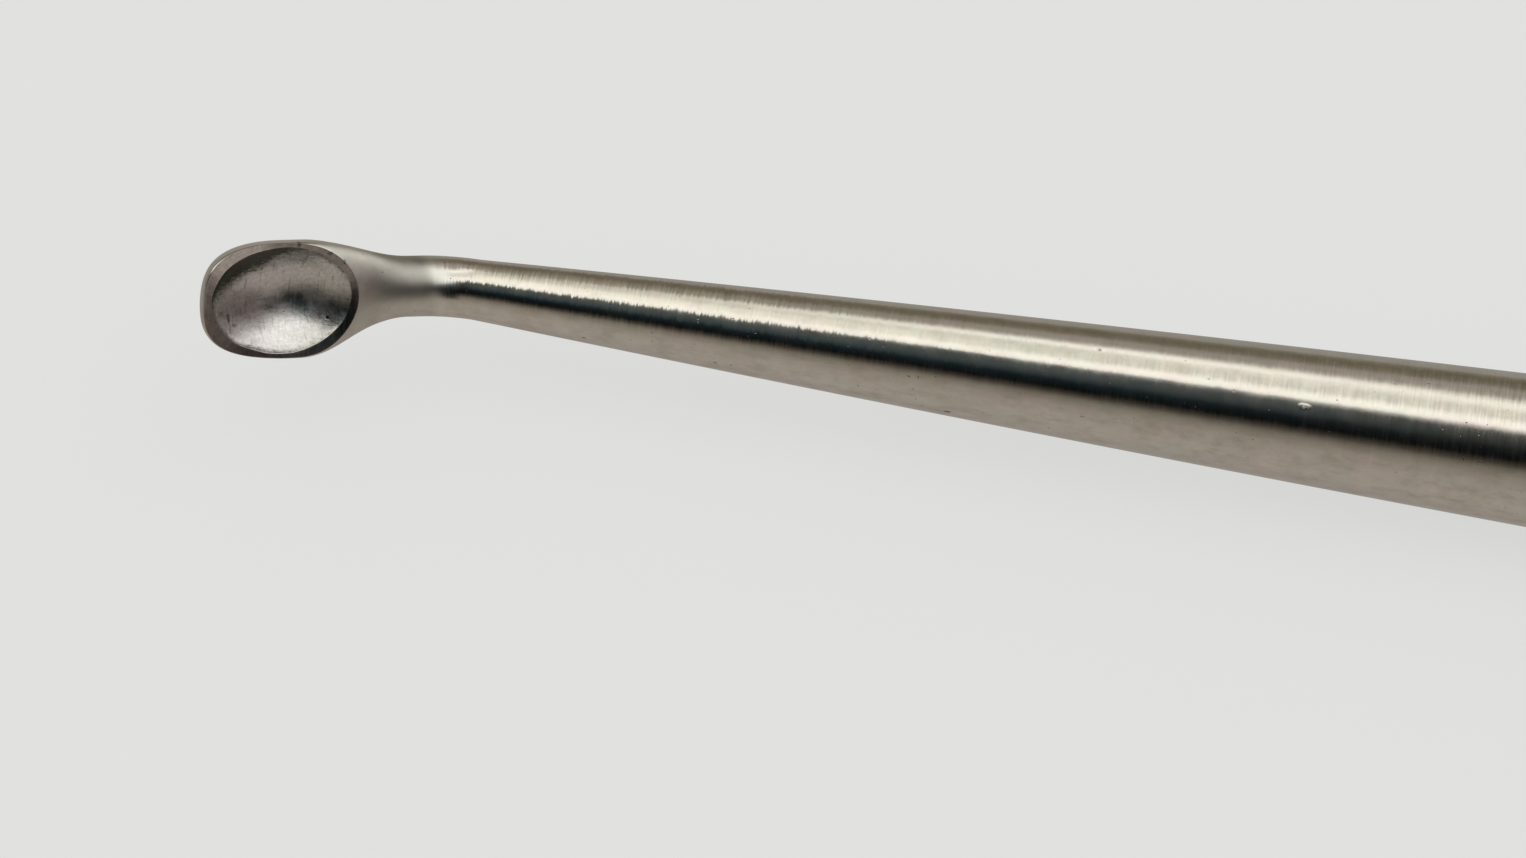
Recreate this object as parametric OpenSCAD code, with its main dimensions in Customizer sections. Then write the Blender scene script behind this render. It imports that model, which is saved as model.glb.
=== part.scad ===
// A bone curette in one piece of steel: a six-sided grip, a long turned taper,
// a bent neck and an oval cup with a spooned hollow.
// It lies on a flat of its grip, which is the plane z = 0, with the cup towards -X.

/* [Grip] */
// Width of the grip across two opposite flats
grip_flats = 10; // [9:0.1:12]
// Height that the grip's turned corners stand over its flats
corner_rise = 0.5; // [0.2:0.05:0.7]
// Length of the grip, from the end of the taper to the butt
grip_length = 90; // [60:1:120]
// Length of the domed end of the butt
butt_dome = 2.6; // [1:0.1:4]
// Diameter of the flat spot on the butt
butt_flat = 5; // [2:0.1:8]

/* [Shaft] */
// Diameter of the neck, where the shaft is thinnest
neck_diameter = 3.5; // [2.6:0.05:4.4]
// Length of the taper between the neck and the grip
taper_length = 88; // [50:1:110]
// Outward bow of the taper's sides, from 0 for a straight cone
taper_bow = 0.38; // [0:0.02:0.6]

/* [Bend] */
// Angle that the cup is bent up from the shaft, towards its opening
bend_angle = 37; // [0:0.5:45]
// Radius of the bend, on the centreline of the neck
bend_radius = 5.2; // [4:0.1:12]

/* [Cup] */
// Width of the cup over its outside
cup_width = 6.8; // [6:0.1:8]
// Distance from the end of the bend to the middle of the cup
cup_reach = 9.6; // [9.4:0.1:11]
// Distance from the middle of the cup to its tip
tip_length = 4.45; // [4.25:0.05:5]
// Distance from the widest place of the cup to its middle, towards the neck
widest_setback = 1.6; // [0.8:0.1:2.2]
// Squareness of the cup's front: higher is broader
tip_squareness = 3; // [2.5:0.1:3.5]
// Depth of the cup's outside under its rim
cup_depth = 3.6; // [3.2:0.1:4.6]
// Height of the rim over the centreline of the neck
rim_height = 2.4; // [2.2:0.1:2.7]
// Depth under the rim at which the cup is widest
rim_tuck = 0.15; // [0.05:0.05:0.4]
// Length of neck between the bend and the start of the flare
flare_start = 0.8; // [0.3:0.05:1]
// Distance from the start of the flare to the heel, where the neck's top starts to climb to the rim
heel_start = 1.98; // [1.5:0.02:2.2]
// Length over which the heel climbs past the rim
heel_climb = 4.6; // [4:0.1:4.9]

/* [Hollow] */
// Depth of the hollow under the rim
hollow_depth = 1.7; // [1.4:0.1:2.3]
// Width of the flat land on each side of the hollow
side_land = 0.31; // [0.25:0.02:0.61]
// Width of the flat land at the tip
tip_land = 0.52; // [0.4:0.02:0.7]
// Length of the hollow's mouth
hollow_length = 8.35; // [7.5:0.05:8.5]

/* [Hidden] */

grip_sides = 6;
neck_r = neck_diameter / 2;
taper_r = grip_flats / 2;
corner_r = taper_r + corner_rise;
roll = 360 / grip_sides;
bend_end_x = taper_length + grip_length / 2;

arc_length = bend_radius * bend_angle * PI / 180;
flare_s = arc_length + flare_start;
heel_s = flare_s + heel_start;
middle_s = arc_length + cup_reach;
widest_s = middle_s - widest_setback;
tip_s = middle_s + tip_length;
widest_n = rim_height - rim_tuck;
rim_stock = 1;
cut_margin = 1;

join_overlap = 0.6;
join_skin = 0.01;
points_per_ring = 64;
turned_facets = 96;
steel_grey = [0.66, 0.65, 0.63];
rings_bend = 12;
rings_flare = 28;
rings_tip = 16;

function mix(a, b, t) = a + (b - a) * t;
function clamp01(t) = min(1, max(0, t));
function ease(t) = t * t * (3 - 2 * t);

// Share of the way, along the spine, from one place to another, slow at both ends
function along(s, from_s, to_s) = ease(clamp01((s - from_s) / (to_s - from_s)));
// How far the front has closed, from 1 where it starts to 0 at the tip
function closing(s, from_s, power) =
    pow(max(0, 1 - pow(clamp01((s - from_s) / (tip_s - from_s)), power)), 1 / power);

// The section across the spine: its half width, the height at which it is widest,
// and how far it reaches under and over that height
function half_width(s) =
    mix(neck_r, cup_width / 2, along(s, flare_s, widest_s)) * closing(s, widest_s, tip_squareness);
function widest_height(s) = widest_n * along(s, flare_s, middle_s);
function depth_below(s) =
    mix(neck_r, cup_depth - rim_tuck, along(s, flare_s, middle_s)) * closing(s, middle_s, 2);
function top_height(s) = mix(neck_r, rim_height + rim_stock, along(s, heel_s, heel_s + heel_climb));
function height_above(s) = (top_height(s) - widest_height(s)) * closing(s, middle_s, 2);

// Place on the spine, and the direction towards the opening there
function spine_turn(s) = min(max(s, 0), arc_length) / bend_radius * 180 / PI;
function beyond_bend(s) = max(0, s - arc_length);
function spine_point(s) =
    let (turn = spine_turn(s))
    [-min(s, 0) - bend_radius * sin(turn) - beyond_bend(s) * cos(bend_angle),
     0,
     bend_radius * (1 - cos(turn)) + beyond_bend(s) * sin(bend_angle)];
function spine_normal(s) = [sin(spine_turn(s)), 0, cos(spine_turn(s))];

function ring_point(s, angle) =
    let (skin = s < arc_length / 2 ? join_skin : 0,
         across = cos(angle) * (half_width(s) - skin),
         reach = (sin(angle) > 0 ? height_above(s) : depth_below(s)) - skin)
    spine_point(s) + [0, across, 0] + (widest_height(s) + reach * sin(angle)) * spine_normal(s);

// Places of the rings: through the bend, over the flare and round the tip
stations = concat(
    [-join_overlap],
    [for (i = [0 : rings_bend]) arc_length * i / rings_bend],
    [for (i = [0 : rings_flare]) mix(flare_s, middle_s, i / rings_flare)],
    [for (i = [1 : rings_tip - 1]) mix(middle_s, tip_s, sin(90 * i / rings_tip))]
);
ring_count = len(stations);
loft_points = concat(
    [for (s = stations, j = [0 : points_per_ring - 1]) ring_point(s, 360 * j / points_per_ring)],
    [spine_point(-join_overlap), spine_point(tip_s) + widest_n * spine_normal(tip_s)]
);
back_pole = ring_count * points_per_ring;
tip_pole = back_pole + 1;

function on_ring(ring, j) = ring * points_per_ring + (j % points_per_ring);
loft_faces = concat(
    [for (j = [0 : points_per_ring - 1]) [back_pole, on_ring(0, j + 1), on_ring(0, j)]],
    [for (ring = [0 : ring_count - 2], j = [0 : points_per_ring - 1])
        [on_ring(ring, j), on_ring(ring, j + 1), on_ring(ring + 1, j + 1), on_ring(ring + 1, j)]],
    [for (j = [0 : points_per_ring - 1])
        [tip_pole, on_ring(ring_count - 1, j), on_ring(ring_count - 1, j + 1)]]
);

// The bent neck and the bowl as one smooth skin, from inside the taper to the tip
module neck_and_bowl() {
    polyhedron(points = loft_points, faces = loft_faces, convexity = 6);
}

// Places its children on the cup: x towards the tip, z out of the opening
module in_cup_frame() {
    translate(spine_point(arc_length))
        rotate([0, -bend_angle, 180])
            children();
}

// What the rim's plane takes off the top of the bowl
module rim_cut() {
    translate([0, -cup_width / 2 - cut_margin, rim_height])
        cube([cup_reach + tip_length + cut_margin, cup_width + 2 * cut_margin, rim_stock + cut_margin]);
}

// The spooned hollow: a long round form about the cup's own axis, set a little under the rim
mouth_half_width = cup_width / 2 - side_land;
mouth_half_length = hollow_length / 2;
hollow_sink = (hollow_depth * hollow_depth - mouth_half_width * mouth_half_width) / (2 * hollow_depth);
hollow_r = hollow_depth - hollow_sink;
hollow_half_length = mouth_half_length / sqrt(1 - pow(hollow_sink / hollow_r, 2));
hollow_middle = cup_reach + tip_length - tip_land - mouth_half_length;
hollow_steps = 28;

module hollow() {
    translate([hollow_middle, 0, rim_height - hollow_sink])
        rotate([0, 90, 0])
            rotate_extrude($fn = turned_facets)
                polygon([for (i = [0 : hollow_steps])
                    let (angle = 180 * i / hollow_steps)
                    [hollow_r * sin(angle), -hollow_half_length * cos(angle)]]);
}

module cup() {
    difference() {
        neck_and_bowl();
        in_cup_frame() {
            rim_cut();
            hollow();
        }
    }
}

// Outline of the turned bar: bowed taper, run out over the corners, domed butt
taper_steps = 16;
dome_steps = 8;
bar_end = taper_length + grip_length;
taper_end_slope = (taper_r - neck_r) * (1 - taper_bow) / taper_length;
corner_run = min(corner_rise / taper_end_slope, grip_length / 2);

function taper_radius(t) = mix(neck_r, taper_r, t + taper_bow * t * (1 - t));
taper_curve = [for (i = [1 : taper_steps]) [taper_radius(i / taper_steps), taper_length * i / taper_steps]];
butt_curve = [for (i = [0 : dome_steps])
    let (angle = 90 * i / dome_steps)
    [mix(butt_flat / 2, corner_r, cos(angle)), bar_end - butt_dome * (1 - sin(angle))]];

module turned_bar() {
    rotate([0, 90, 0])
        rotate_extrude($fn = turned_facets)
            polygon(concat(
                [[0, join_overlap / 2], [neck_r, join_overlap / 2]],
                taper_curve,
                [[corner_r, taper_length + corner_run]],
                butt_curve,
                [[0, bar_end]]));
}

module six_sided_bar() {
    rotate([0, 90, 0])
        rotate([0, 0, 180 / grip_sides])
            cylinder(h = bar_end, r = taper_r / cos(180 / grip_sides), $fn = grip_sides);
}

module shaft_and_grip() {
    intersection() {
        turned_bar();
        six_sided_bar();
    }
}

module curette() {
    color(steel_grey)
        translate([-bend_end_x, 0, taper_r])
            rotate([roll, 0, 0]) {
                shaft_and_grip();
                cup();
            }
}

curette();
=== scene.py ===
# %% [markdown]
# # A surgical curette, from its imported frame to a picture
# The object is one bar of stainless steel: a six-sided grip, a long turned taper, a bent neck and an
# oval cup with a spooned hollow. This lesson builds its skin as one surface worked out with numpy,
# gives the steel its brushed and worn finish, and sets the light that such a finish needs.
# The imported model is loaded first, because everything that follows stands in its frame.

import math

import bpy
import numpy as np
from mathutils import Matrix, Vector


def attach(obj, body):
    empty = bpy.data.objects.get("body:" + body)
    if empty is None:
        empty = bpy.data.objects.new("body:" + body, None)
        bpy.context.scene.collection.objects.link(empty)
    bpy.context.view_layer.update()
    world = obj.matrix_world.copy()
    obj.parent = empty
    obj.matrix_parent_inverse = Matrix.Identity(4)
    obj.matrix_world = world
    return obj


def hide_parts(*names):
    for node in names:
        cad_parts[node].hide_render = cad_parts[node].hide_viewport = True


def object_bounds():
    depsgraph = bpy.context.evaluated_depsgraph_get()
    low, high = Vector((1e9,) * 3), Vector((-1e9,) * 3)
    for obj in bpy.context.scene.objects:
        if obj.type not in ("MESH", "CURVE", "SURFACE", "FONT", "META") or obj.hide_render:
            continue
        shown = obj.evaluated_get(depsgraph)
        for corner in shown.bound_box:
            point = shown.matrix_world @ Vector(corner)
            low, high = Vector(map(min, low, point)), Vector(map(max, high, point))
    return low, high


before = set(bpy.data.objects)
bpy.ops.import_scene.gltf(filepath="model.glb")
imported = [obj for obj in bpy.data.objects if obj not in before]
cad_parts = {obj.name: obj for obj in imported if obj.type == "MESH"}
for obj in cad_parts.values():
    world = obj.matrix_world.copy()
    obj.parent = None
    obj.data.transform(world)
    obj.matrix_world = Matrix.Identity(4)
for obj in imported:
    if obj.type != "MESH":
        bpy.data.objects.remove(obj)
cad_low, cad_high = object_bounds()
MM = 0.001
print("frame from", [round(v / MM, 2) for v in cad_low], "to", [round(v / MM, 2) for v in cad_high], "mm")

# %% [markdown]
# ## Sizes
# A designer writes each size once and works the rest out. The butt's place and the height of the
# grip come from the frame itself; the other sizes are those of the real instrument, in millimetres.

# %% Sizes of the instrument
GRIP_FLATS = 10.0
GRIP_CORNERS = 11.0
GRIP_LENGTH = 90.0
GRIP_SIDES = 6
BUTT_DOME = 2.6
BUTT_FLAT = 5.0
NECK_DIAMETER = 3.5
TAPER_LENGTH = 88.0
TAPER_BOW = 0.38
BEND_ANGLE = math.radians(37.0)
BEND_RADIUS = 5.2
CUP_WIDTH = 6.8
CUP_REACH = 9.6
TIP_LENGTH = 4.45
WIDEST_SETBACK = 1.6
TIP_SQUARENESS = 3.0
CUP_DEPTH = 3.6
RIM_HEIGHT = 2.4
RIM_TUCK = 0.15
FLARE_START = 0.8
HEEL_START = 1.98
HEEL_CLIMB = 4.6
RIM_STOCK = 1.0
HOLLOW_DEPTH = 1.7
SIDE_LAND = 0.31
TIP_LAND = 0.52
HOLLOW_LENGTH = 8.35

neck_r = NECK_DIAMETER / 2
taper_r = GRIP_FLATS / 2
corner_r = GRIP_CORNERS / 2
bar_end = TAPER_LENGTH + GRIP_LENGTH
arc_length = BEND_RADIUS * BEND_ANGLE
flare_s = arc_length + FLARE_START
heel_s = flare_s + HEEL_START
middle_s = arc_length + CUP_REACH
widest_s = middle_s - WIDEST_SETBACK
tip_s = middle_s + TIP_LENGTH
widest_n = RIM_HEIGHT - RIM_TUCK
bend_x = cad_high[0] / MM - bar_end
roll = 2 * math.pi / GRIP_SIDES
print("bend starts at x =", round(bend_x, 2), "mm, the cup's middle is", round(middle_s, 2), "mm along the spine from it")

# %% [markdown]
# ## The spine
# The bar is drawn about one centreline: straight through the grip and the taper, round a short arc at
# the neck, then straight again through the cup. Any point of the skin is then given by three numbers:
# how far along the spine, how far to the side, and how far towards the opening. Blender could bend a
# straight mesh with a modifier, but a formula keeps the sizes true.

# %% Spine and unbent coordinates
def spine(s):
    """Points of the centreline and the unit direction towards the opening there, for distances s in mm
    from the start of the bend, positive towards the tip. The turn grows with s inside the arc only."""
    turn = np.clip(s, 0, arc_length) / BEND_RADIUS
    beyond = np.clip(s - arc_length, 0, None)
    x = -np.minimum(s, 0) - BEND_RADIUS * np.sin(turn) - beyond * math.cos(BEND_ANGLE)
    z = BEND_RADIUS * (1 - np.cos(turn)) + beyond * math.sin(BEND_ANGLE)
    flat = np.zeros_like(x)
    return np.stack([x, flat, z], -1), np.stack([np.sin(turn), flat, np.cos(turn)], -1)


def place(unbent):
    """Carries unbent points (s, side, up) in mm to the row's frame in metres: onto the spine, then
    rolled by one flat of the grip and lifted until the grip's lowest flat is at z = 0."""
    centre, normal = spine(unbent[..., 0])
    bent = centre + unbent[..., 2:3] * normal
    side = bent[..., 1] + unbent[..., 1]
    x = bent[..., 0] + bend_x
    y = side * math.cos(roll) - bent[..., 2] * math.sin(roll)
    z = side * math.sin(roll) + bent[..., 2] * math.cos(roll) + taper_r
    return np.stack([x, y, z], -1) * MM


# %% [markdown]
# ## Sections across the spine
# The turned part has round sections: a slightly bowed taper that runs out over the corners of the
# six-sided bar, so each flat starts in a pointed arch, as on a pencil. The cup's sections are half
# ellipses, one over the widest height and one under it, which swell from the plain neck.

# %% Radii and widths along the spine
def mix(a, b, t):
    """A straight blend from a to b."""
    return a + (b - a) * t


def along(s, start, end):
    """Share of the way from start to end, slow at both ends: 3t^2 - 2t^3."""
    t = np.clip((s - start) / (end - start), 0, 1)
    return t * t * (3 - 2 * t)


def closing(s, start, power):
    """Falls from 1 at start to 0 at the tip along a quarter of a superellipse."""
    t = np.clip((s - start) / (tip_s - start), 0, 1)
    return np.clip(1 - t**power, 0, 1) ** (1 / power)


def turned_radius(x):
    """Radius of the turned bar x mm behind the bend: the bowed taper, its run over the corners,
    the corners' own radius, and the elliptic dome of the butt."""
    t = np.clip(x / TAPER_LENGTH, 0, 1)
    taper = mix(neck_r, taper_r, t + TAPER_BOW * t * (1 - t))
    end_slope = (taper_r - neck_r) * (1 - TAPER_BOW) / TAPER_LENGTH
    run_out = np.minimum(taper + end_slope * np.clip(x - TAPER_LENGTH, 0, None), corner_r)
    into_dome = np.clip((x - bar_end + BUTT_DOME) / BUTT_DOME, 0, 1)
    dome = mix(BUTT_FLAT / 2, corner_r, np.sqrt(1 - into_dome**2))
    return np.minimum(run_out, np.where(into_dome > 0, dome, corner_r))


EDGE_BLEND = 0.06


def bar_radius(x, angle):
    """Radius of the bar: the smaller of the turned radius and the distance to the six flats, blended
    over a few hundredths of a millimetre, which breaks the edges as a polishing wheel does."""
    sector = 2 * math.pi / GRIP_SIDES
    from_flat = (angle - math.pi / 2 + sector / 2) % sector - sector / 2
    flats = taper_r / np.cos(from_flat)
    turned = turned_radius(x)
    near = np.clip(EDGE_BLEND - np.abs(turned - flats), 0, None) / EDGE_BLEND
    return np.minimum(turned, flats) - near**2 * EDGE_BLEND / 4


def half_width(s):
    """Half the width of the section at s."""
    return mix(neck_r, CUP_WIDTH / 2, along(s, flare_s, widest_s)) * closing(s, widest_s, TIP_SQUARENESS)


def widest_height(s):
    """Height over the spine at which the section is widest."""
    return widest_n * along(s, flare_s, middle_s)


def depth_below(s):
    """How far the section reaches under its widest height."""
    return mix(neck_r, CUP_DEPTH - RIM_TUCK, along(s, flare_s, middle_s)) * closing(s, middle_s, 2)


def height_above(s):
    """How far the uncut section reaches over its widest height: the heel climbs past the rim."""
    top = mix(neck_r, RIM_HEIGHT + RIM_STOCK, along(s, heel_s, heel_s + HEEL_CLIMB))
    return (top - widest_height(s)) * closing(s, middle_s, 2)


print("radius where the taper ends", round(float(turned_radius(np.array(TAPER_LENGTH))), 3), "mm")

# %% [markdown]
# ## The hollow and the land round it
# The hollow is a long round form cut a little below the rim, as a round-nosed cutter leaves it. The
# land round its mouth was honed by hand: it leans inwards by some degrees, its inner edge wanders by a
# few hundredths of a millimetre, and the whole cup sways a tenth to one side of the shaft.

# %% Hollow and honed land
HONE_LEAN = math.tan(math.radians(12.0))
EDGE_ROUND = 0.022
CUP_SWAY = 0.11
SWAY_MIDDLE = 9.7
SWAY_SPREAD = 2.1
mouth_half_width = CUP_WIDTH / 2 - SIDE_LAND
mouth_half_length = HOLLOW_LENGTH / 2
hollow_sink = (HOLLOW_DEPTH**2 - mouth_half_width**2) / (2 * HOLLOW_DEPTH)
hollow_r = HOLLOW_DEPTH - hollow_sink
hollow_half_length = mouth_half_length / math.sqrt(1 - (hollow_sink / hollow_r) ** 2)
mouth_s = tip_s - TIP_LAND - mouth_half_length
mouth_latitude = math.asin(hollow_sink / hollow_r)
cut_height = RIM_HEIGHT - EDGE_ROUND / 2


def rim_angle(s):
    """Angle on the section at which the skin meets the land; 90 degrees where the section stays under
    it. It is the arcsine of the height still missing over the height the section could reach."""
    missing = (cut_height - widest_height(s)) / np.maximum(height_above(s), 1e-6)
    return np.arcsin(np.clip(missing, 0, 1))


def wander(azimuth):
    """How far the mouth's edge wanders, as a factor on the plain ellipse: a few waves round it, and one
    small flat where the hone stayed longer."""
    waves = 0.004 * np.sin(3 * azimuth + 0.8) + 0.003 * np.sin(7 * azimuth + 2.1)
    flat = 0.017 * np.exp(-((azimuth - FLAT_AZIMUTH) / 0.16) ** 2)
    return 1 + waves + 0.002 * np.sin(13 * azimuth) - flat


FLAT_AZIMUTH = -1.2

# %% [markdown]
# ## Rows and columns of the skin
# The skin is a grid: rows are places along the spine, close together where the shape turns fast, and
# columns go round. Each row opens at the top where the land cuts it, so the rim is a clean line of
# the grid and not a jagged cut. The columns crowd together beside the rim, which keeps the edge crisp.

# %% The grid of the outer skin
BESIDE_RIM = np.array([0.0, 0.0008, 0.002, 0.0045])
round_share = np.concatenate([BESIDE_RIM, np.linspace(0.0085, 0.9915, 186), 1 - BESIDE_RIM[::-1]])


def first_cut(low, high):
    """Halves the stretch between low and high until it knows where the section first reaches the land."""
    for _ in range(40):
        half = (low + high) / 2
        if rim_angle(np.array([half]))[0] < math.pi / 2 - 1e-4:
            high = half
        else:
            low = half
    return high


heel_cut_s = first_cut(heel_s, middle_s)
front_cut_s = first_cut(tip_s, middle_s)
dome_angles = np.linspace(0, math.pi / 2, 14)
shaft_x = np.concatenate([
    bar_end - BUTT_DOME * (1 - np.cos(dome_angles)),
    np.linspace(bar_end - BUTT_DOME, TAPER_LENGTH + 27, 12)[1:],
    np.linspace(TAPER_LENGTH + 27, TAPER_LENGTH - 2, 64)[1:],
    np.linspace(TAPER_LENGTH - 2, 0, 60)[1:],
])
ease_in = (1 - np.cos(np.linspace(0, math.pi, 110))) / 2
cup_s = mix(heel_cut_s, front_cut_s, ease_in)
tip_rows = mix(front_cut_s, tip_s, np.sin(np.linspace(0, math.pi / 2, 12)))[1:]
row_s = np.concatenate([-shaft_x, np.linspace(0, heel_cut_s, 56)[1:-1], cup_s, tip_rows])
print(len(row_s), "rows; the rim runs from", round(heel_cut_s, 3), "to", round(front_cut_s, 3), "mm")


def skin_points(s):
    """Unbent points of the skin, one row for each s. The angle runs once round from the rim's one side,
    down under the cup, to its other side; on the bar the radius takes the place of the half widths."""
    opened = (s >= heel_cut_s) & (s <= front_cut_s)
    start = np.where(opened, rim_angle(s), math.pi / 2)[:, None]
    angle = math.pi - start + (math.pi + 2 * start) * round_share[None]
    rows = s[:, None]
    up = np.sin(angle)
    reach = np.where(up > 0, height_above(rows), depth_below(rows))
    sway = CUP_SWAY * np.exp(-((rows - SWAY_MIDDLE) / SWAY_SPREAD) ** 2)
    side = half_width(rows) * np.cos(angle) - sway
    height = widest_height(rows) + reach * up
    radius = bar_radius(-rows, angle)
    side = np.where(rows <= 0, radius * np.cos(angle), side)
    height = np.where(rows <= 0, radius * up, height)
    return np.stack([np.broadcast_to(rows, side.shape), side, height], -1)


skin = skin_points(row_s)
butt_share = np.linspace(0, 1, 4)[:-1, None, None]
butt = skin[:1] * np.concatenate([np.ones_like(butt_share), butt_share, butt_share], -1)
skin = np.concatenate([butt, skin])

# %% [markdown]
# ## The land and the hollow as grids
# Both start from the rim's own points, so the pieces share their edges exactly. The land goes straight
# across to the mouth with a hair of rounding at both edges; the hollow follows the round form down to
# its deepest point.

# %% Grids of the land and the hollow
first_row = len(butt) + int(np.argmin(np.abs(row_s - heel_cut_s)))
last_row = len(butt) + int(np.argmin(np.abs(row_s - front_cut_s)))
rim_left = skin[first_row:last_row + 1, 0]
rim_right = skin[first_row:last_row + 1, -1]
rim = np.concatenate([rim_left, rim_right[::-1][1:]])
rim_azimuth = np.arctan2(rim[:, 1] / mouth_half_width, (rim[:, 0] - mouth_s) / mouth_half_length)
rim_azimuth[0] = math.pi
rim_azimuth[-1] = -math.pi


def hollow_points(azimuth, latitude):
    """Points of the hollow: a ball stretched along the cup, by azimuth and latitude, pushed in or out
    near the mouth by the wander of the land's edge."""
    near_mouth = along(latitude, -0.9, mouth_latitude)
    factor = mix(1.0, wander(azimuth), near_mouth)
    s = mouth_s + hollow_half_length * np.cos(latitude) * np.cos(azimuth) * factor
    side = hollow_r * np.cos(latitude) * np.sin(azimuth) * factor
    height = RIM_HEIGHT - hollow_sink + hollow_r * np.sin(latitude) + 0 * azimuth
    return np.stack([s, side, height], -1), near_mouth


depth_share = np.concatenate([[0.0, 0.004, 0.01], np.linspace(0.02, 1, 54)])[:, None]
hollow, near_mouth = hollow_points(rim_azimuth[None], mix(mouth_latitude, -math.pi / 2, depth_share))
land_width = np.hypot(*(rim - hollow[0])[:, :2].T)
hollow[..., 2] -= near_mouth**2 * (HONE_LEAN * land_width + EDGE_ROUND / 2)[None]

from_rim = np.array([0.0, 0.25, 0.6, 1.0]) * EDGE_ROUND
land_steps = np.concatenate([from_rim, [0.12, 0.5]])
outer_part = land_steps[:5, None] / land_width[None]
inner_part = 1 - outer_part[::-1]
across_land = np.concatenate([outer_part, np.full((1, len(rim)), 0.5), inner_part])
land = mix(rim[None], hollow[:1], across_land[..., None])
from_edge = np.minimum(across_land, 1 - across_land) * land_width[None]
edge_rise = 1 - np.clip(1 - from_edge / EDGE_ROUND, 0, 1) ** 2
land[..., 2] += edge_rise * EDGE_ROUND / 2
print("land", round(float(land_width.min()), 2), "to", round(float(land_width.max()), 2), "mm wide")

# %% [markdown]
# ## One closed mesh
# The three grids go into one mesh. Points that fall together, at the poles, along the top line and on
# the shared edges, are merged, which leaves a closed skin with its faces outwards. Three attributes go
# with it: the unbent place of each point, for marks that follow the bar round its bend, a number that
# tells the skin, the land and the hollow apart, and the direction of the bar.

# %% Mesh of the whole curette
def grid_faces(rows, columns, start):
    """Four corner numbers of each cell of a grid whose points are numbered row by row from start."""
    corner = start + np.arange(rows - 1)[:, None] * columns + np.arange(columns - 1)[None]
    cells = np.stack([corner, corner + columns, corner + columns + 1, corner + 1], -1)
    return cells.reshape(-1, 4)


def add_grids(name, grids, zones):
    """Makes one mesh object from several grids of unbent points, with the unbent place and the zone of
    each point kept as attributes."""
    points = np.concatenate([g.reshape(-1, 3) for g in grids])
    starts = np.cumsum([0] + [g.shape[0] * g.shape[1] for g in grids])
    faces = np.concatenate([grid_faces(g.shape[0], g.shape[1], a) for g, a in zip(grids, starts)])
    zone = np.concatenate([np.full(g.shape[0] * g.shape[1], float(z)) for g, z in zip(grids, zones)])
    mesh = bpy.data.meshes.new(name)
    mesh.from_pydata(place(points), [], faces)
    mesh.attributes.new("unbent", "FLOAT_VECTOR", "POINT").data.foreach_set("vector", points.astype(np.float32).ravel())
    mesh.attributes.new("zone", "FLOAT", "POINT").data.foreach_set("value", zone.astype(np.float32))
    way = place(points + np.array([0.01, 0.0, 0.0])) - place(points)
    way /= np.linalg.norm(way, axis=1, keepdims=True)
    mesh.attributes.new("bar_way", "FLOAT_VECTOR", "POINT").data.foreach_set("vector", way.astype(np.float32).ravel())
    piece = bpy.data.objects.new(name, mesh)
    bpy.context.scene.collection.objects.link(piece)
    return piece


def merge_and_turn(piece, distance):
    """Merges points closer than distance and turns all faces outwards."""
    import bmesh
    work = bmesh.new()
    work.from_mesh(piece.data)
    bmesh.ops.remove_doubles(work, verts=work.verts, dist=distance)
    bmesh.ops.dissolve_degenerate(work, dist=distance, edges=work.edges)
    bmesh.ops.recalc_face_normals(work, faces=work.faces)
    open_edges = sum(1 for e in work.edges if not e.is_manifold)
    volume = work.calc_volume(signed=True)
    work.to_mesh(piece.data)
    work.free()
    return open_edges, volume


body = add_grids("curette_body", [skin, land, hollow], [0, 1, 2])
open_edges, volume = merge_and_turn(body, 2e-7)
print(len(body.data.polygons), "faces,", open_edges, "open edges,", round(volume / MM**3, 1), "mm3")

# %% [markdown]
# ## Shading and place
# The whole skin is shaded smooth: the rounded edges are in the mesh itself. The piece then takes the
# place of the imported solid and rides on its body; its steel material is put on further down.

# %% Place in the frame
body.data.polygons.foreach_set("use_smooth", np.ones(len(body.data.polygons), dtype=bool))
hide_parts("curette")
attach(body, "root")

# %% [markdown]
# ## Node helpers
# Shaders are graphs of small steps. A few helpers keep the next cells short: one adds a node with its
# settings, one does arithmetic, one maps a stretch of values onto another, one makes a noise.

# %% Helpers for shader graphs
def add(tree, kind, settings=None, inputs=None):
    """Adds a node, sets its plain settings by name, and fills its sockets by number or name: a number
    or tuple is a constant, anything else is an output to link from."""
    made = tree.nodes.new(kind)
    for key, value in (settings or {}).items():
        setattr(made, key, value)
    for key, value in (inputs or {}).items():
        if isinstance(value, bpy.types.NodeSocket):
            tree.links.new(value, made.inputs[key])
        else:
            made.inputs[key].default_value = value
    return made


def calc(tree, operation, a, b=0.0, c=0.0):
    """One arithmetic step between two or three values."""
    return add(tree, "ShaderNodeMath", {"operation": operation}, {0: a, 1: b, 2: c}).outputs[0]


def remap(tree, value, low, high, to_low=0.0, to_high=1.0, smooth=False):
    """Maps the stretch low to high onto to_low to to_high and holds the ends; smooth eases both ends."""
    kind = "SMOOTHSTEP" if smooth else "LINEAR"
    made = add(tree, "ShaderNodeMapRange", {"interpolation_type": kind},
               {"Value": value, "From Min": low, "From Max": high, "To Min": to_low, "To Max": to_high})
    return made.outputs["Result"]


def blend(tree, share, a, b):
    """Blends two colours, or two plain numbers, by a share."""
    if isinstance(a, tuple) or isinstance(b, tuple) or getattr(a, "type", "VALUE") == "RGBA":
        made = add(tree, "ShaderNodeMix", {"data_type": "RGBA"}, {0: share, 6: a, 7: b})
        return made.outputs[2]
    return add(tree, "ShaderNodeMix", {"data_type": "FLOAT"}, {0: share, 2: a, 3: b}).outputs[0]


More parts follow.
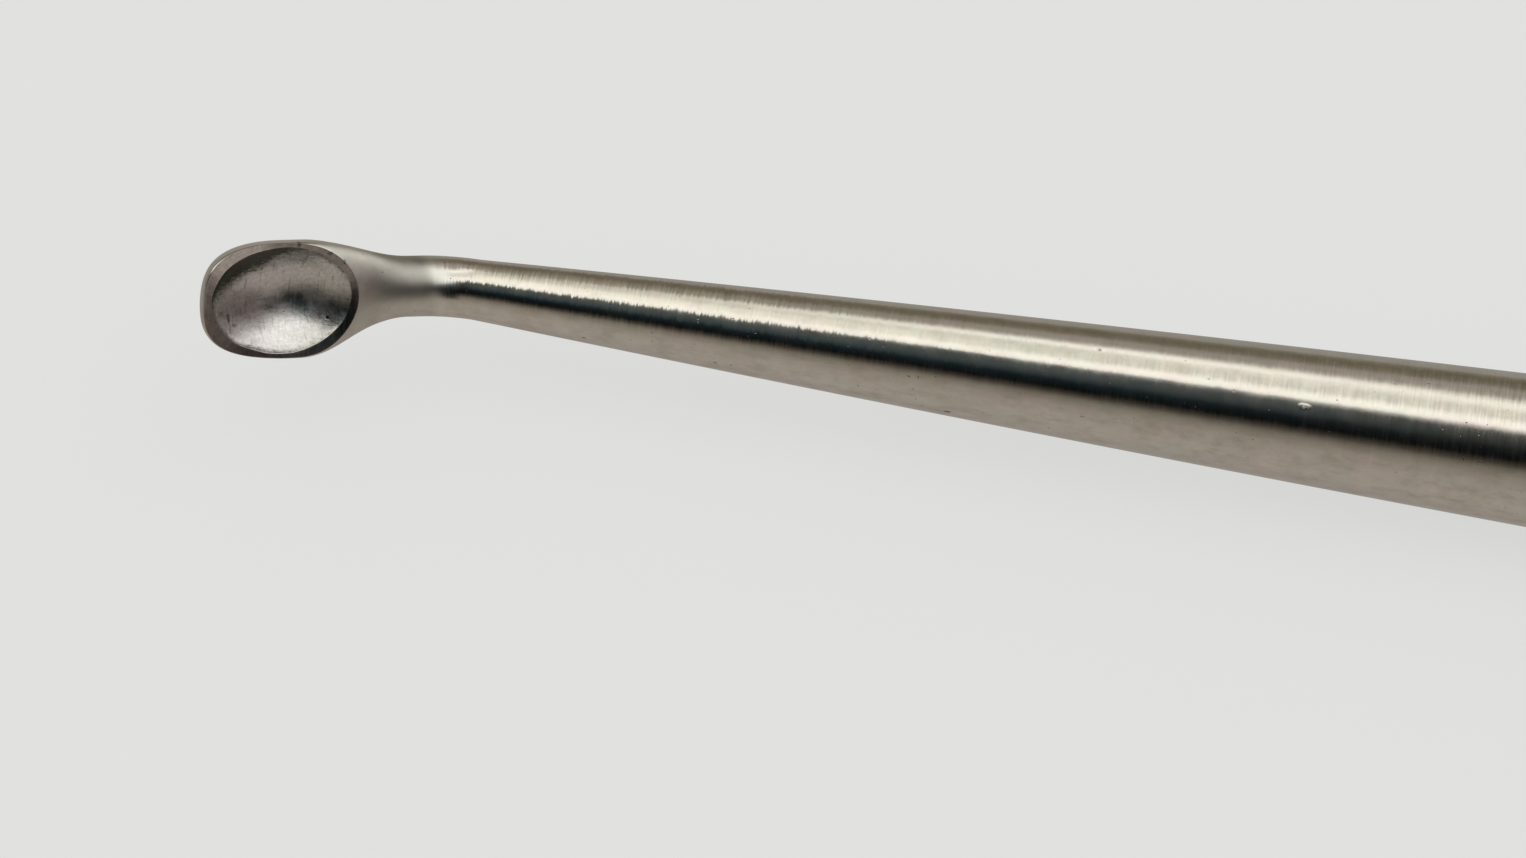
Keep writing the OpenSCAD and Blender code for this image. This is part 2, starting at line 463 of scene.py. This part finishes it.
def noise(tree, vector, scale, detail=2.0, rough=0.5):
    """A noise that is stretched by a scale of its own in each of the three directions, per mm."""
    stretched = add(tree, "ShaderNodeVectorMath", {"operation": "MULTIPLY"}, {0: vector, 1: scale})
    made = add(tree, "ShaderNodeTexNoise", {}, {"Vector": stretched.outputs[0], "Scale": 1.0,
                                                "Detail": detail, "Roughness": rough})
    return made.outputs["Fac"]


# %% [markdown]
# ## Patterns of the steel
# The shaft was finished on a belt while it turned, so its marks run round it, six or seven to the
# millimetre. The hollow was blasted and then worn, which leaves an even grain, soft clouds and scratches. All
# patterns are noises that read the unbent place of a point, so they follow the bar round its bend.

# %% Patterns
steel = bpy.data.materials.new("brushed_steel")
steel.use_nodes = True
tree = steel.node_tree
shader = tree.nodes["Principled BSDF"]
shader.inputs["Metallic"].default_value = 1.0

unbent = add(tree, "ShaderNodeAttribute", {"attribute_name": "unbent"}).outputs["Vector"]
zone = add(tree, "ShaderNodeAttribute", {"attribute_name": "zone"}).outputs["Fac"]
bar_way = add(tree, "ShaderNodeAttribute", {"attribute_name": "bar_way"}).outputs["Vector"]
in_hollow = remap(tree, zone, 1.3, 1.7)
off_skin = remap(tree, zone, 0.3, 0.6)
on_land = calc(tree, "SUBTRACT", off_skin, in_hollow)

belt_marks = noise(tree, unbent, (9.0, 0.6, 0.6), 1.0, 0.5)
belt_groups = noise(tree, unbent, (1.3, 0.25, 0.25), 2.0, 0.5)
clouds = noise(tree, unbent, (0.8, 1.1, 1.1), 4.0, 0.62)
hues = noise(tree, unbent, (0.45, 0.7, 0.7), 3.0, 0.55)
pores = noise(tree, unbent, (4.2, 4.2, 4.2), 1.0, 0.5)
smears = remap(tree, noise(tree, unbent, (0.55, 1.3, 1.3), 5.0, 0.7), 0.48, 0.72)
hollow_grain = noise(tree, unbent, (5.0, 5.0, 5.0), 4.0, 0.7)
hollow_clouds = noise(tree, unbent, (0.8, 1.1, 1.1), 4.0, 0.6)
scratches = noise(tree, unbent, (6.5, 0.8, 0.8), 2.0, 0.5)
land_grain = noise(tree, unbent, (3.2, 3.2, 3.2), 3.0, 0.7)

# %% [markdown]
# ## Marks of use
# A few marks are placed one by one, each as a small spot round one point: specks and a scuff on the
# shaft, a pit and a stain in the hollow. A noise moves the distance a little, so no spot is a plain
# disc. Each mark has a centre, the reach along the bar and across it, and how dark it is.

# %% Placed marks
MARKS = [
    ((-28.1, -2.35, 1.92), 0.24, 0.10, 0.80),
    ((-6.8, -1.45, 1.50), 0.10, 0.08, 0.45),
    ((-14.6, -1.62, 1.85), 0.12, 0.07, 0.45),
    ((-15.5, -1.60, 1.92), 0.08, 0.06, 0.35),
    ((-36.2, 2.60, 2.18), 0.10, 0.10, 0.35),
    ((-51.2, -1.15, 3.10), 0.05, 0.38, 0.25),
    ((-50.2, -1.45, 2.95), 0.06, 0.30, 0.22),
    ((9.66, -1.24, 1.75), 0.11, 0.11, 0.95),
    ((15.58, -1.17, 1.62), 0.10, 0.32, 0.60),
    ((15.25, -1.62, 1.60), 0.26, 0.12, 0.50),
    ((16.1, -0.88, 1.80), 0.18, 0.18, 0.45),
    ((12.8, -0.35, 0.72), 0.50, 0.16, 0.35),
    ((8.9, -1.5, 2.05), 0.14, 0.14, 0.50),
    ((12.0, 3.31, 2.38), 0.13, 0.24, 0.60),
    ((10.1, 2.72, 2.37), 0.16, 0.10, 0.50),
    ((9.15, 2.20, 2.38), 0.10, 0.14, 0.45),
]
scuff_away = add(tree, "ShaderNodeVectorMath", {"operation": "SUBTRACT"}, {0: unbent, 1: (-47.9, 1.50, 3.53)})
scuff_away = add(tree, "ShaderNodeVectorMath", {"operation": "MULTIPLY"}, {0: scuff_away.outputs[0], 1: (1.0, 2.2, 2.2)})
scuff_away = add(tree, "ShaderNodeVectorMath", {"operation": "LENGTH"}, {0: scuff_away.outputs[0]}).outputs["Value"]
scuff = remap(tree, scuff_away, 0.15, 0.50, 1.0, 0.0, smooth=True)
ragged = calc(tree, "MULTIPLY", calc(tree, "SUBTRACT", pores, 0.5), 1.6)
dirt = None
for centre, reach_along, reach_across, darkness in MARKS:
    away = add(tree, "ShaderNodeVectorMath", {"operation": "SUBTRACT"}, {0: unbent, 1: centre}).outputs[0]
    shrink = (1 / reach_along, 1 / reach_across, 1 / reach_across)
    away = add(tree, "ShaderNodeVectorMath", {"operation": "MULTIPLY"}, {0: away, 1: shrink}).outputs[0]
    away = add(tree, "ShaderNodeVectorMath", {"operation": "LENGTH"}, {0: away}).outputs["Value"]
    spot = remap(tree, calc(tree, "ADD", away, ragged), 0.6, 1.3, darkness, 0.0, smooth=True)
    dirt = spot if dirt is None else calc(tree, "MAXIMUM", dirt, spot)
pore_dirt = remap(tree, pores, 0.755, 0.80, 0.0, 0.5)
dirt = calc(tree, "MAXIMUM", dirt, pore_dirt)

# %% [markdown]
# Under the upper edge of the mouth, on the side away from the shaft, a dark shade is painted into the
# hollow's colour. It is widest in the middle of that stretch and runs out to both ends, and streaks
# across it break up its edge.

# %% Painted shade under the upper edge
places = add(tree, "ShaderNodeSeparateXYZ", {}, {0: unbent}).outputs
along_place, side_place, height_place = places
# Painted shade: these lines shape the dark shade painted under the upper edge of the mouth.
shade_streaks = noise(tree, unbent, (2.6, 6.5, 2.0), 4.0, 0.65)
shade_edge = calc(tree, "MAXIMUM", remap(tree, along_place, 11.3, 13.8, 2.25, 0.9), remap(tree, side_place, 1.6, -0.5, 0.9, 2.25))
shade_depth = calc(tree, "SUBTRACT", height_place, shade_edge)
shade_depth = calc(tree, "ADD", shade_depth, calc(tree, "MULTIPLY", calc(tree, "SUBTRACT", shade_streaks, 0.5), 1.7))
# Share of the painted shade, 0 outside it and 1 where it is deepest.
shade = remap(tree, shade_depth, -0.24, 0.55, smooth=True)

# %% [markdown]
# ## How the marks turn the light
# Each belt mark is a shallow groove whose walls lean a little to one side, so along a mark the
# reflection is shifted round the bar, and the edge of a bright reflection breaks into fine teeth. The
# surface direction is therefore tipped by the belt pattern, sideways to the bar's own direction.

# %% Surface direction
facing = add(tree, "ShaderNodeNewGeometry").outputs["Normal"]
round_way = add(tree, "ShaderNodeVectorMath", {"operation": "CROSS_PRODUCT"}, {0: facing, 1: bar_way}).outputs[0]
BELT_LEAN = 0.19
GROUP_LEAN = 0.03
lean = calc(tree, "MULTIPLY", calc(tree, "SUBTRACT", belt_marks, 0.5), remap(tree, along_place, -30.0, -14.0, 0.18 * BELT_LEAN, BELT_LEAN))
lean = calc(tree, "MULTIPLY", lean, remap(tree, side_place, 0.25, 0.75, 0.3, 1.0))
lean = calc(tree, "MULTIPLY", lean, remap(tree, along_place, 0.5, 4.0, 1.0, 0.2))
group_lean = calc(tree, "MULTIPLY", calc(tree, "SUBTRACT", belt_groups, 0.5), GROUP_LEAN)
lean = blend(tree, off_skin, calc(tree, "ADD", lean, group_lean), 0.0)
tipped = add(tree, "ShaderNodeVectorMath", {"operation": "SCALE"}, {0: round_way, "Scale": lean}).outputs[0]
tipped = add(tree, "ShaderNodeVectorMath", {"operation": "ADD"}, {0: facing, 1: tipped}).outputs[0]
tipped = add(tree, "ShaderNodeVectorMath", {"operation": "NORMALIZE"}, {0: tipped}).outputs[0]
relief = blend(tree, in_hollow, calc(tree, "MULTIPLY", clouds, 1.5), calc(tree, "MULTIPLY", hollow_grain, 6.0))
relief = calc(tree, "ADD", relief, calc(tree, "MULTIPLY", calc(tree, "MULTIPLY", land_grain, on_land), 4.0))
relief = calc(tree, "SUBTRACT", relief, calc(tree, "MULTIPLY", dirt, 6.0))
relief = calc(tree, "ADD", relief, calc(tree, "MULTIPLY", calc(tree, "MULTIPLY", scuff, hollow_grain), 12.0))
bump = add(tree, "ShaderNodeBump", {}, {"Strength": 1.0, "Distance": 0.0016 * MM, "Height": relief, "Normal": tipped})
tree.links.new(bump.outputs[0], shader.inputs["Normal"])

# %% [markdown]
# ## Gloss and colour
# A belt blurs reflections along the bar more than round it, so the gloss differs in the two
# directions. The hollow is duller and greyer. Colour stays close to plain steel, a warm light grey,
# with faint pink and green clouds that age and cleaning leave. Painted light and shade go into the tones
# as well: a darker neck past the bend, a tone set by place on the land, a lighter side of the hollow
# and a dark olive shade under its upper edge.

# %% Gloss and colour
skin_rough = calc(tree, "ADD", remap(tree, belt_marks, 0.3, 0.7, 0.13, 0.20), remap(tree, clouds, 0.4, 0.7, 0.0, 0.05))
hollow_rough = remap(tree, hollow_clouds, 0.35, 0.65, 0.22, 0.36)
past_bend = calc(tree, "MULTIPLY", remap(tree, along_place, 0.6, 5.2, smooth=True), remap(tree, along_place, 13.0, 9.0, smooth=True))
past_bend = blend(tree, off_skin, past_bend, 0.0)
skin_rough = calc(tree, "MULTIPLY_ADD", past_bend, 0.32, skin_rough)
rough = blend(tree, in_hollow, skin_rough, hollow_rough)
rough = calc(tree, "ADD", rough, calc(tree, "MULTIPLY", dirt, 0.3))
scratched = calc(tree, "MULTIPLY", scuff, remap(tree, hollow_grain, 0.50, 0.60))
rough = calc(tree, "MULTIPLY_ADD", scratched, 0.4, rough)
tree.links.new(rough, shader.inputs["Roughness"])
tree.links.new(blend(tree, off_skin, 0.55, 0.0), shader.inputs["Anisotropic"])
tree.links.new(bar_way, shader.inputs["Tangent"])

skin_tint = blend(tree, remap(tree, hues, 0.38, 0.62), (0.588, 0.580, 0.542, 1.0), (0.612, 0.568, 0.542, 1.0))
skin_tint = blend(tree, smears, skin_tint, (0.590, 0.565, 0.500, 1.0))
hollow_tint = blend(tree, remap(tree, along_place, 11.0, 14.5), (0.578, 0.570, 0.562, 1.0), (0.598, 0.562, 0.570, 1.0))
tint = blend(tree, in_hollow, skin_tint, hollow_tint)
tint = blend(tree, on_land, tint, (0.60, 0.555, 0.548, 1.0))
# Painted shade: the hollow's colour turns olive where the shade under the upper edge is painted.
tint = blend(tree, calc(tree, "MULTIPLY", shade, in_hollow), tint, (0.57, 0.58, 0.49, 1.0))

belt_share = remap(tree, along_place, -36.0, -60.0, 0.02, 0.09)
belt_share = calc(tree, "MULTIPLY", belt_share, remap(tree, side_place, -1.0, 1.0, 0.25, 1.0))
belt_tone = calc(tree, "MULTIPLY_ADD", remap(tree, belt_marks, 0.25, 0.75, -1.0, 1.0), belt_share, 1.0)
skin_tone = calc(tree, "MULTIPLY", remap(tree, clouds, 0.3, 0.7, 0.89, 1.05), belt_tone)
smear_share = calc(tree, "MULTIPLY", smears, remap(tree, side_place, 1.2, -1.6))
skin_tone = calc(tree, "MULTIPLY", skin_tone, remap(tree, smear_share, 0.0, 1.0, 1.0, 0.80))
# Painted shade: the neck past the bend, 2.9 to 8 mm along, is painted up to 36 per cent darker on its side above
# side_place 0.3 mm, which dims its reflection there.
neck_painted_shade = calc(tree, "MULTIPLY", remap(tree, along_place, 2.9, 3.9, smooth=True), remap(tree, along_place, 8.0, 5.6, smooth=True))
neck_painted_shade = calc(tree, "MULTIPLY", neck_painted_shade, remap(tree, side_place, -0.8, 0.3, smooth=True))
skin_tone = calc(tree, "MULTIPLY", skin_tone, remap(tree, neck_painted_shade, 0.0, 1.0, 1.0, 0.64))
hollow_tone = calc(tree, "MULTIPLY", remap(tree, hollow_clouds, 0.3, 0.7, 0.86, 1.06), remap(tree, hollow_grain, 0.3, 0.7, 0.80, 1.18))
hollow_tone = calc(tree, "MULTIPLY", hollow_tone, remap(tree, scratches, 0.60, 0.68, 1.0, 0.70))
# Painted light: the hollow is painted up to a fifth lighter where side_place runs from 1.6 to 2.4 mm.
hollow_tone = calc(tree, "MULTIPLY", hollow_tone, remap(tree, side_place, 1.6, 2.4, 1.0, 1.2, smooth=True))
# Painted shade: under the upper edge the hollow is painted darker, to 0.17 of its tone where the shade is deepest.
hollow_tone = calc(tree, "MULTIPLY", hollow_tone, remap(tree, shade, 0.0, 1.0, 1.0, 0.17))
# Painted shade and light on the land: its tone is set by place, 0.52 to 0.94 on the upper land, raised near the heel,
# 0.85 to 0.74 on the lower land; the grain on it is the steel's own.
upper_land_painted_tone = remap(tree, along_place, 13.4, 14.3, 0.52, 0.94)
heel_painted_lift = remap(tree, along_place, 9.4, 8.4, 0.0, 0.45)
upper_land_painted_tone = calc(tree, "ADD", upper_land_painted_tone, heel_painted_lift)
lower_land_painted_tone = remap(tree, along_place, 14.0, 15.4, 0.85, 0.74)
land_tone = blend(tree, remap(tree, side_place, -0.5, 0.7), lower_land_painted_tone, upper_land_painted_tone)
land_tone = calc(tree, "MULTIPLY", land_tone, remap(tree, land_grain, 0.35, 0.65, 0.76, 1.08))

tone = blend(tree, in_hollow, skin_tone, hollow_tone)
tone = blend(tree, on_land, tone, land_tone)
tone = calc(tree, "MULTIPLY", tone, calc(tree, "SUBTRACT", 1.0, dirt))
toned = add(tree, "ShaderNodeVectorMath", {"operation": "SCALE"}, {0: tint, "Scale": tone}).outputs[0]
tree.links.new(toned, shader.inputs["Base Color"])
body.data.materials.append(steel)

# %% [markdown]
# ## Floor and light
# Polished metal shows what is around it, so its light is a picture of a room, drawn by the angle round
# the shaft: a wide softbox overhead with two brighter edges, the dark side of the room in front, a dim
# wall behind and a pale table below. The floor takes an even soft light of its own, as on a light
# table, so the shadow under the instrument stays faint.

# %% World as a picture of a studio
scene = bpy.context.scene
scene.view_settings.view_transform = "Standard"
world = bpy.data.worlds.new("studio")
scene.world = world
world.use_nodes = True
room = world.node_tree
room.nodes.clear()

ROOM_STRENGTH = 1.7
TABLE_SIDE = [
    (-180, (0.40, 0.38, 0.33)),
    (-150, (0.36, 0.34, 0.31)),
    (-100, (0.42, 0.385, 0.345)),
    (-60, (0.52, 0.475, 0.42)),
    (-26, (0.50, 0.455, 0.395)),
    (-8, (0.44, 0.395, 0.34)),
]
FRONT_EDGE = [
    (6, (0.31, 0.28, 0.23)),
    (19, (0.07, 0.06, 0.048)),
]
RIGHT_EDGE = [
    (-4, (0.20, 0.175, 0.15)),
    (5, (0.02, 0.018, 0.016)),
    (27, (0.003, 0.005, 0.005)),
    (42, (0.018, 0.034, 0.043)),
]
FAR_RIGHT = [
    (12, (0.34, 0.31, 0.27)),
    (24, (0.08, 0.065, 0.055)),
    (45, (0.03, 0.027, 0.026)),
    (68, (0.05, 0.042, 0.036)),
    (84, (0.34, 0.32, 0.29)),
    (120, (0.42, 0.40, 0.37)),
    (165, (0.40, 0.375, 0.345)),
]
DARK_SIDE = [
    (27, (0.002, 0.004, 0.004)),
    (42, (0.009, 0.018, 0.022)),
    (50, (0.05, 0.072, 0.078)),
    (58, (0.082, 0.104, 0.104)),
    (71.5, (0.085, 0.10, 0.092)),
]
BROWN_SIDE = [
    (27, (0.003, 0.002, 0.002)),
    (38, (0.010, 0.007, 0.005)),
    (47, (0.030, 0.021, 0.016)),
    (56, (0.050, 0.040, 0.033)),
    (66, (0.075, 0.066, 0.056)),
]
SOFTBOX = [
    (73.5, (1.68, 1.66, 1.54)),
    (83, (1.68, 1.66, 1.54)),
    (91, (1.00, 0.98, 0.87)),
    (103, (0.98, 0.96, 0.84)),
    (110, (1.10, 1.08, 0.96)),
    (115, (1.80, 1.78, 1.66)),
    (120, (1.80, 1.78, 1.66)),
    (125, (0.85, 0.81, 0.70)),
    (131, (0.46, 0.42, 0.36)),
    (141, (0.44, 0.40, 0.35)),
]
SOFTBOX_LEFT = [
    (74, (1.50, 1.46, 1.33)),
    (82, (1.66, 1.62, 1.46)),
    (98, (1.58, 1.53, 1.36)),
    (108, (1.05, 1.0, 0.84)),
    (118, (0.62, 0.585, 0.47)),
    (130, (0.40, 0.37, 0.29)),
]
SOFTBOX_GRIP = [
    (71, (1.60, 1.56, 1.46)),
    (80, (1.62, 1.60, 1.48)),
    (90, (1.06, 1.03, 0.93)),
    (100, (1.10, 1.06, 0.95)),
    (107, (1.75, 1.71, 1.58)),
    (112, (1.75, 1.71, 1.58)),
    (118, (0.85, 0.80, 0.72)),
    (125, (0.48, 0.44, 0.38)),
    (140, (0.45, 0.41, 0.36)),
]
WIDE_SOFTBOX = [
    (57, (0.125, 0.15, 0.16)),
    (66, (1.66, 1.66, 1.58)),
    (165, (1.62, 1.60, 1.52)),
    (176, (0.50, 0.46, 0.42)),
]
DIM_WALL = [
    (150, (0.24, 0.21, 0.155)),
    (163, (0.195, 0.17, 0.12)),
    (174, (0.26, 0.235, 0.18)),
    (180, (0.40, 0.38, 0.33)),
]


def around(tree, angle, stops):
    """A colour by the angle in degrees, blended between the given stops; the ramp's own range 0 to 1
    stands for -180 to 180 degrees."""
    ramp = add(tree, "ShaderNodeValToRGB", {}, {"Fac": remap(tree, angle, -180.0, 180.0)})
    stops = sorted(stops)
    while len(ramp.color_ramp.elements) < len(stops):
        ramp.color_ramp.elements.new(1.0)
    for element, (degrees, colour) in zip(ramp.color_ramp.elements, stops):
        element.position = (degrees + 180) / 360
        element.color = (*[channel / ROOM_STRENGTH for channel in colour], 1.0)
    return ramp.outputs["Color"]


direction = add(room, "ShaderNodeTexCoord").outputs["Generated"]
split = add(room, "ShaderNodeSeparateXYZ", {}, {0: direction})
to_right, to_back, to_top = split.outputs
round_shaft = calc(room, "ARCTAN2", to_top, calc(room, "MULTIPLY", to_back, -1.0))
round_shaft = calc(room, "DEGREES", round_shaft)
straight = around(room, round_shaft, TABLE_SIDE + FRONT_EDGE + DARK_SIDE + SOFTBOX + DIM_WALL)
leftward = around(room, round_shaft, TABLE_SIDE + FRONT_EDGE + DARK_SIDE + SOFTBOX_LEFT + DIM_WALL)
straight = blend(room, remap(room, to_right, -0.26, -0.14, smooth=True), leftward, straight)
grip_end = around(room, round_shaft, TABLE_SIDE + FRONT_EDGE + BROWN_SIDE + SOFTBOX_GRIP + DIM_WALL)
straight = blend(room, remap(room, to_right, -0.10, 0.0, smooth=True), straight, grip_end)
rightward = around(room, round_shaft, TABLE_SIDE + RIGHT_EDGE + WIDE_SOFTBOX)
low_share = remap(room, to_right, 0.05, 0.31, smooth=True)
high_share = remap(room, to_right, 0.14, 0.46, smooth=True)
share = blend(room, remap(room, round_shaft, 45.0, 60.0), low_share, high_share)
picture = blend(room, share, straight, rightward)
far_picture = around(room, round_shaft, TABLE_SIDE + FAR_RIGHT)
picture = blend(room, remap(room, to_right, 0.66, 0.86, smooth=True), picture, far_picture)
picture = blend(room, remap(room, to_right, 0.87, 0.95, smooth=True), picture, (0.10, 0.084, 0.074, 1.0))
far_left = remap(room, to_right, -0.8, -0.95, smooth=True)
picture = blend(room, far_left, picture, (0.16, 0.15, 0.14, 1.0))

TABLE_LIGHT = (1.0, 1.0, 0.985, 1.0)
upward_glow = remap(room, to_top, 0.0, 1.0, 0.55, 1.25)
even = add(room, "ShaderNodeBackground", {}, {"Color": TABLE_LIGHT, "Strength": upward_glow})
shown = add(room, "ShaderNodeBackground", {}, {"Color": picture, "Strength": ROOM_STRENGTH})
backdrop = add(room, "ShaderNodeBackground", {}, {"Color": (0.74, 0.74, 0.72, 1.0), "Strength": 1.0})
ray = add(room, "ShaderNodeLightPath")
lit = add(room, "ShaderNodeMixShader", {}, {0: ray.outputs["Is Diffuse Ray"], 1: shown.outputs[0], 2: even.outputs[0]})
seen = add(room, "ShaderNodeMixShader", {}, {0: ray.outputs["Is Camera Ray"], 1: lit.outputs[0], 2: backdrop.outputs[0]})
add(room, "ShaderNodeOutputWorld", {}, {"Surface": seen.outputs[0]})

# %% [markdown]
# ## The floor
# A plain sheet, half lit from below. It is left out of the reflections, which take the table from the
# drawn room instead, where it can be as far off and as even as in the photograph.

# %% Floor
FLOOR_HALF = 6.0
corners = [(-FLOOR_HALF, -FLOOR_HALF, 0), (FLOOR_HALF, -FLOOR_HALF, 0), (FLOOR_HALF, FLOOR_HALF, 0), (-FLOOR_HALF, FLOOR_HALF, 0)]
floor_mesh = bpy.data.meshes.new("floor")
floor_mesh.from_pydata(corners, [], [(0, 1, 2, 3)])
floor = bpy.data.objects.new("floor", floor_mesh)
scene.collection.objects.link(floor)
paper = bpy.data.materials.new("pale_sheet")
paper.use_nodes = True
sheet = paper.node_tree.nodes["Principled BSDF"]
sheet.inputs["Base Color"].default_value = (0.11, 0.11, 0.108, 1.0)
sheet.inputs["Roughness"].default_value = 1.0
sheet.inputs["Specular IOR Level"].default_value = 0.0
sheet.inputs["Emission Color"].default_value = (1.0, 1.0, 0.985, 1.0)
sheet.inputs["Emission Strength"].default_value = 0.635
floor_mesh.materials.append(paper)
floor.visible_glossy = False

# %% [markdown]
# ## Camera
# The camera looks at the instrument as the photograph does. Its place follows from one point of the
# shaft, the picture's scale there, and the direction of view; the picture is 1526 by 858 pixels.

# %% Camera
PICTURE_WIDTH = 1526
PICTURE_HEIGHT = 858
SCALE = 17.35
BEND_PIXEL = (477.0, 289.8)
VIEW_DISTANCE = 260.0
VIEW_TILT = math.radians(16.45)
VIEW_TURN = math.radians(7.9)
SHAFT_SLOPE = math.radians(8.84)


def unroll(v):
    """Turns a direction of the shaft's own frame into the row's frame."""
    x, y, z = v
    return np.array([x, y * math.cos(roll) - z * math.sin(roll), y * math.sin(roll) + z * math.cos(roll)])


sin_turn, cos_turn = math.sin(VIEW_TURN), math.cos(VIEW_TURN)
sin_tilt, cos_tilt = math.sin(VIEW_TILT), math.cos(VIEW_TILT)
backward = unroll((sin_turn, cos_turn * sin_tilt, cos_turn * cos_tilt))
level = unroll((cos_turn, -sin_turn * sin_tilt, -sin_turn * cos_tilt))
steep = unroll((0.0, cos_tilt, -sin_tilt))
right = math.cos(SHAFT_SLOPE) * level + math.sin(SHAFT_SLOPE) * steep
upward = -math.sin(SHAFT_SLOPE) * level + math.cos(SHAFT_SLOPE) * steep
bend_point = np.array([bend_x, 0.0, taper_r])
across = (BEND_PIXEL[0] - PICTURE_WIDTH / 2) / SCALE
down = (BEND_PIXEL[1] - PICTURE_HEIGHT / 2) / SCALE
camera_place = (bend_point - across * right + down * upward + VIEW_DISTANCE * backward) * MM

camera = bpy.data.objects.new("camera", bpy.data.cameras.new("camera"))
scene.collection.objects.link(camera)
from mathutils import Matrix
camera.matrix_world = Matrix([(*axis, place) for axis, place in
                              zip(np.stack([right, upward, backward], 1).tolist(), camera_place.tolist())] + [(0, 0, 0, 1)])
camera.data.sensor_width = 36.0
camera.data.lens = 36.0 * SCALE * VIEW_DISTANCE / PICTURE_WIDTH
camera.data.clip_start = 0.01
camera.data.clip_end = 50.0
scene.camera = camera
print("camera", [round(v, 4) for v in camera_place.tolist()], "lens", round(camera.data.lens, 1), "mm, elevation",
      round(math.degrees(math.asin(backward[2])), 1))
